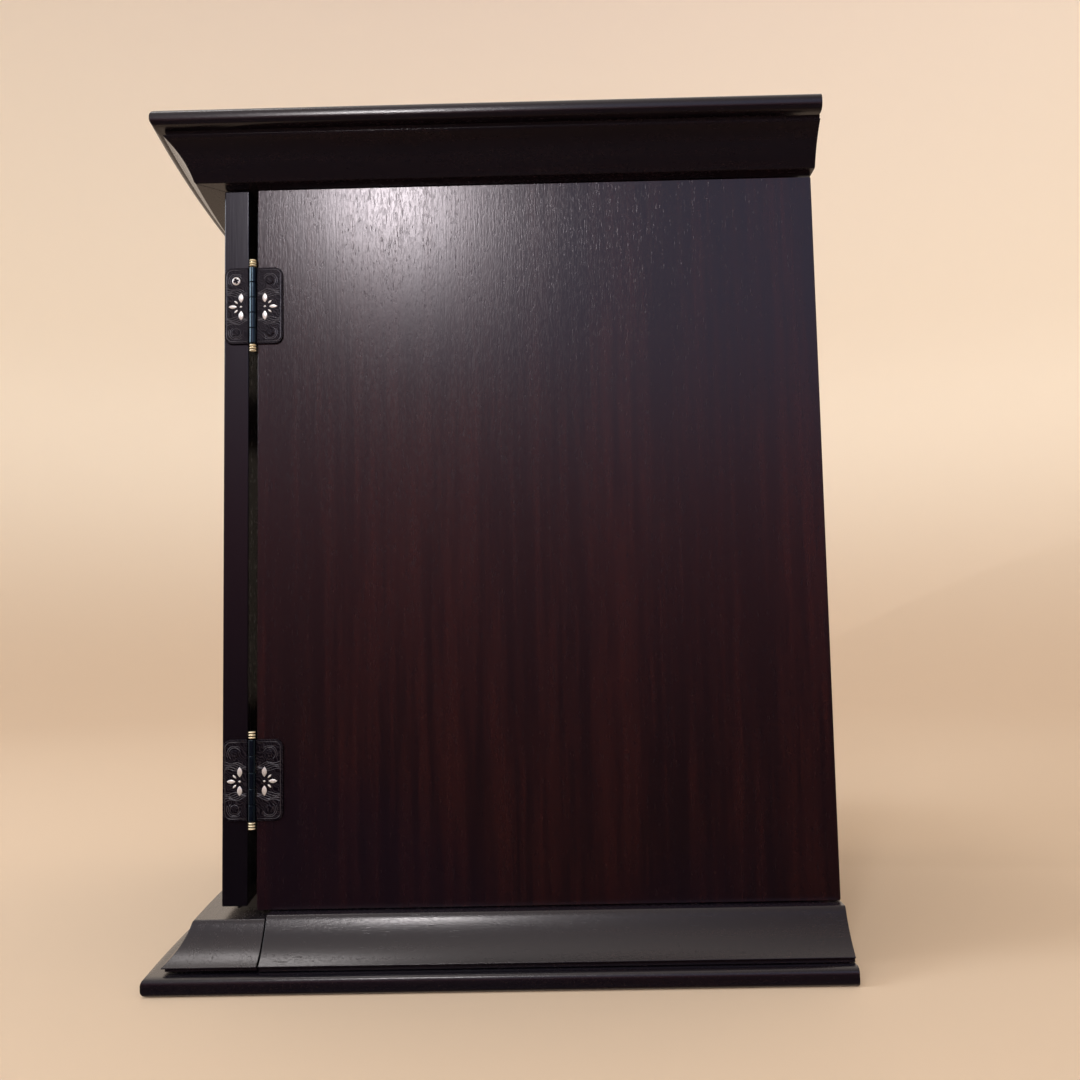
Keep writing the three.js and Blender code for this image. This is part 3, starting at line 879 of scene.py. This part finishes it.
def leafOrnament(node, body, side, away, onFace, root, far, height):
    # rim, waves and arcs in low relief, the bright half flower, two screws
    drop = hinge["ornamentDrop"]
    rim = leafOutline(root + hinge["rimRoot"], far, height / 2, hinge["rimInset"])
    lines = [[onFace(u, v, leafFace - hinge["rimSunk"]) for u, v in rim]]
    screwU, screwV = hinge["screwFromAxis"], hinge["screwFromMiddle"]
    bends = vineLines(root, far, -1) + vineLines(root, far, 1)
    if away < 0:                # a worn ring shows round the lower screw
        bends.append(ringLine(screwU, -screwV, hinge["screwRadius"]))
    lines += [[onFace(u, v - drop, leafFace - hinge["vineSunk"]) for u, v in bend] for bend in bends]
    points = [point for line in lines for point in line]
    pairs, start = [], 0
    for line in lines:
        pairs += [(start + i, start + i + 1) for i in range(len(line) - 1)]
        start += len(line)
    relief = meshObject(node + "_relief", points, [])
    relief.data.edges.add(len(pairs))
    relief.data.edges.foreach_set("vertices", [i for pair in pairs for i in pair])
    addTree(relief, trees["reliefLines"], finishes["worn"], Radius=vine["radius"])
    settle(relief, body, "black_plate", sharp=180)

    centres, turns, longs, wides = [], [], [], []
    for turn, distance, long, wide in flower["petals"]:
        angle = math.radians(turn)
        u = hinge["flowerFromAxis"] + distance * mm * math.cos(angle)
        centres.append(onFace(u, distance * mm * math.sin(angle) - drop))
        turns.append(away * angle + (0.0 if away > 0 else math.pi))
        longs.append(long * mm)
        wides.append(wide * mm)
    petals = meshObject(node + "_flower", centres, [])
    for key, values in (("turn", turns), ("long", longs), ("wide", wides)):
        petals.data.attributes.new(key, "FLOAT", "POINT").data.foreach_set("value", values)
    addTree(petals, trees["petals"], finishes["bright"], Height=flower["height"] * mm)
    settle(petals, body, "bright_steel", sharp=60)

    for up, label in ((-1, "lower"), (1, "upper")):
        # the upper hinges' topmost screw in the door is bright
        look = "bright" if label == "upper" and "upper" in node and away < 0 else "plate"
        at = onFace(screwU, up * screwV - drop)
        for tree, word, finish in (("screwHeads", "screw", look), ("screwCrosses", "screw_recess", "plate")):
            screw = meshObject(f"{node}_{word}_{label}", [at], [])
            addTree(screw, trees[tree], finishes[finish], Radius=hinge["screwRadius"], Side=float(side))
            settle(screw, body, "bright_steel" if finish == "bright" else "black_plate", sharp=40)


def vineLines(root, far, up):
    # low relief lines of one half of a leaf, in (away, z): a band of waves, and arcs round the screw
    start, end, steps = root + vine["fromRoot"], far - vine["fromEnd"], vine["steps"]
    lines = []
    for i in range(vine["waves"]):
        line = []
        for j in range(steps + 1):
            along = j / steps
            swing = vine["swing"] * math.sin(2 * math.pi * (vine["turns"] * along + vine["lag"] * i))
            rise = vine["gather"] * (1 - along) ** 2 * (i / vine["waves"])
            line.append((mix(start, end, along), up * (vine["first"] + i * vine["pitch"] + swing - rise)))
        lines.append(line)
    for radius, span in vine["arcs"]:
        line = []
        for j in range(steps + 1):
            angle = math.pi * (span * (j / steps - 0.5) + up * vine["arcTilt"])
            u = hinge["screwFromAxis"] + radius * math.cos(angle)
            v = up * hinge["screwFromMiddle"] + radius * math.sin(angle)
            line.append((min(u, end), max(-vine["reach"], min(vine["reach"], v))))
        lines.append(line)
    return lines


def ringLine(u, v, radius):
    turns = quarter(24, 0, 2 * math.pi)
    return [(u + radius * math.cos(turn), v + radius * math.sin(turn)) for turn in turns]


def hingePin(name, level):
    # three flattened brass beads at each end of a dark shaft
    node = f"hinge_{level}_{name}_pin"
    centre, height = hingePlace(name, level)
    low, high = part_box(node)
    bead = (high.z - centre.z - height / 2 - airGap) / hinge["beads"]
    points = []
    for end in (-1, 1):
        for i in range(hinge["beads"]):
            up = height / 2 + airGap + bead * (i + 0.5)
            points.append((centre.x, centre.y, centre.z + end * up))
    beads = meshObject(node + "_beads", points, [])
    addTree(beads, trees["pinBeads"], finishes["brass"], Radius=hinge["beadRadius"], Pitch=bead)
    settle(beads, "case", "brass", [node], sharp=60)
    radius, half = hinge["pinRadius"], (high.z - low.z) / 2 - bead
    pin = turned(node + "_shaft", [(0, -half), (radius, -half), (radius, half), (0, half)], centre,
                 (0, 0, 1), 20)
    settle(pin, "case", "black_plate", finish=finishes["plate"])


# studio

studio = {
    "floorRadius": 1.6, "sweepRadius": 1.1, "wallHeight": 2.6,
    "floor": (0.61, 0.49, 0.375), "wall": (1.0, 0.93, 0.80), "wallFrom": 0.9,
    "lampsAim": 70 * mm,        # behind the front edge of the right panel, at its top
}
studioLamps = {                 # aim, distance, size, power, colour
    "sideLamp": ((8.5, 22.6), 1.3, (0.15, 0.15), 5.0, (1.0, 1.0, 1.0)),
    "frontLamp": ((66.0, 69.0), 2.0, (0.5, 0.5), 5.0, (1.0, 1.0, 1.0)),
    "doorLamp": ((78.0, 19.0), 2.0, (1.1, 0.75), 18.0, (0.82, 0.92, 1.0)),
}


def studioSweep():
    # a round pale floor that curves up into the backdrop
    profile = [(0, 0), (0.5, 0), (studio["floorRadius"], 0)]
    for turn in quarter(16, -math.pi / 2)[1:]:
        profile.append((studio["floorRadius"] + studio["sweepRadius"] * math.cos(turn),
                        studio["sweepRadius"] * (1 + math.sin(turn))))
    profile.append((profile[-1][0], studio["wallHeight"]))
    sweep = turned("studio_sweep", profile, (0, 0, 0), (0, 0, 1), 96)
    sweep.data.polygons.foreach_set("use_smooth", [True] * len(sweep.data.polygons))
    sweep.data.flip_normals()
    material, wire, place, shader = shaderOf("paleBackdrop", {"Roughness": 0.9, "Specular IOR Level": 0.1})
    height = place.separated().other("Z")
    share = height.step(0.0, studio["wallFrom"])
    feed(shader, Base_Color=wire.mixed(share, rgba(studio["floor"]), rgba(studio["wall"])))
    sweep.data.materials.append(material)
    # the lacquer mirrors the room set in the world instead of the floor and backdrop
    sweep.visible_glossy = sweep.visible_shadow = False
    sweep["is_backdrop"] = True


def studioLight(name, aim, distance, size, power, colour):
    # aim: degrees from +X towards the front, and degrees above the horizon
    turn, rise = (math.radians(value) for value in aim)
    towards = Vector((math.cos(rise) * math.cos(turn), -math.cos(rise) * math.sin(turn), math.sin(rise)))
    target = Vector((halfBody, panelFront + studio["lampsAim"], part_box("side_panel_right")[1].z))
    data = bpy.data.lights.new(name, "AREA")
    data.shape, data.energy, data.color = "ELLIPSE", power, colour
    data.size, data.size_y = size
    lamp = bpy.data.objects.new(name, data)
    lamp.location = target + towards * distance
    lamp.rotation_euler = towards.to_track_quat("Z", "Y").to_euler()
    lamp.visible_camera = False
    bpy.context.scene.collection.objects.link(lamp)


roomLook = {                    # colours from straight down, 0, to straight up, 1
    "side": [
        (0.0, (0.070, 0.030, 0.014)), (0.12, (0.08, 0.07, 0.09)), (0.35, (0.040, 0.020, 0.020)),
        (0.45, (0.06, 0.024, 0.030)), (0.50, (0.21, 0.07, 0.09)), (0.56, (0.50, 0.18, 0.20)),
        (0.605, (0.62, 0.42, 0.54)), (0.65, (0.64, 0.54, 0.64)), (0.85, (0.76, 0.70, 0.72)),
        (1.0, (1.5, 1.38, 1.30))],
    "behind": [
        (0.0, (0.30, 0.22, 0.16)), (0.42, (0.55, 0.42, 0.32)), (0.55, (0.86, 0.70, 0.56)),
        (1.0, (1.3, 1.2, 1.1))],
    "daylight": (0.66, 0.74, 1.10),
}


def studioWorld():
    # what the lacquer mirrors: a dim room beside the cabinet's right side, a paler one at its left
    world = bpy.data.worlds.new("studio")
    bpy.context.scene.world = world
    world.use_nodes = True
    wire = Wire(world.node_tree)
    way = wire.node("ShaderNodeTexCoord", output="Generated")
    x = way.separated()
    y, height = x.other("Y"), x.other("Z")
    level, high = height * 0.5 + 0.5, height.step(0.45, 0.62)
    side = wire.node("ShaderNodeValToRGB", {"stops": roomLook["side"]}, {"Fac": level})
    # cooler daylight from a little above the horizon, towards the back
    daylight = height.step(0.12, 0.30) * (1.0 - high) * y.step(-0.12, 0.12)
    side = wire.mixed(daylight, side, rgba(roomLook["daylight"]))
    # darker straight behind, and high up towards the back
    dim = y.step(0.45, 0.75) * 0.8 + high * y.step(-0.05, 0.35) * 0.5
    side = wire.mixed(dim, side, rgba((0.0, 0.0, 0.0)))
    behind = wire.node("ShaderNodeValToRGB", {"stops": roomLook["behind"]}, {"Fac": level})
    seen = wire.mixed(x.step(-0.15, 0.35), behind, side)
    background = world.node_tree.nodes["Background"]
    background.inputs["Strength"].default_value = 1.0
    feed(background, Color=seen)


camera = {
    "place": (0.7206, 0.0358, 0.1713), "lens": 36.07, "sensor": 36.0,
    "heading": 90.70, "pitch": 4.74, "roll": -1.14,
}


def makeCamera():
    data = bpy.data.cameras.new("viewCamera")
    data.lens, data.sensor_width = camera["lens"], camera["sensor"]
    made = bpy.data.objects.new("viewCamera", data)
    turn = (Matrix.Rotation(math.radians(camera["heading"]), 4, "Z")
            @ Matrix.Rotation(math.radians(90 + camera["pitch"]), 4, "X")
            @ Matrix.Rotation(math.radians(camera["roll"]), 4, "Z"))
    made.matrix_world = Matrix.Translation(camera["place"]) @ turn
    bpy.context.scene.collection.objects.link(made)
    bpy.context.scene.camera = made


# the build

makeCamera()
studioSweep()
for name, look in studioLamps.items():
    studioLight(name, *look)
studioWorld()
bpy.context.scene.view_settings.view_transform = "Standard"
print("studio ready")

finishes = makeFinishes()
trees = {"bowFront": bowFrontTree(), "knuckles": knuckleTree(), "reliefLines": reliefTree(),
         "screwHeads": screwTree("screwHeads", True), "screwCrosses": screwTree("screwCrosses", False),
         "petals": petalTree(), "pinBeads": beadTree()}
print("finishes and trees ready")

nosedBoard("base_board", finishes["black_deep"])
nosedBoard("top_board", finishes["black_deep"])
baseMouldings()
corniceMouldings()
print("boards and mouldings built")

# with the right cornice bar out of reflections and shadows, the panel under it is lit, and mirrors
# the room, right up to the soffit
corniceRun = bpy.data.objects["cornice_right_run"]
corniceRun.visible_glossy = corniceRun.visible_shadow = False

sidePanels()
for node in ("case_floor", "case_ceiling"):
    plainBoard(node, "case", "inner_lacquer", finishes["inner_along"], bowed=True)
plainBoard("back_panel", "case", "dark_lacquer", finishes["dark_upright"])
for node in ("base_back_rail", "cornice_back_rail"):
    plainBoard(node, "case", "black_lacquer", finishes["black_along"])
for node in ("tray_runner_left", "tray_runner_right"):
    plainBoard(node, "case", "inner_lacquer", finishes["inner_deep"])
plainBoard("tray_board", "tray", "inner_lacquer", finishes["inner_deep"])
doors()
knobs()
print("case and doors built")

for name in sides:
    for level in ("lower", "upper"):
        hingeLeaf(name, level, "case_leaf")
        hingeLeaf(name, level, "door_leaf")
        hingePin(name, level)
print("hinges built")

[[list(corner) for corner in box] for box in (cadBounds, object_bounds())]
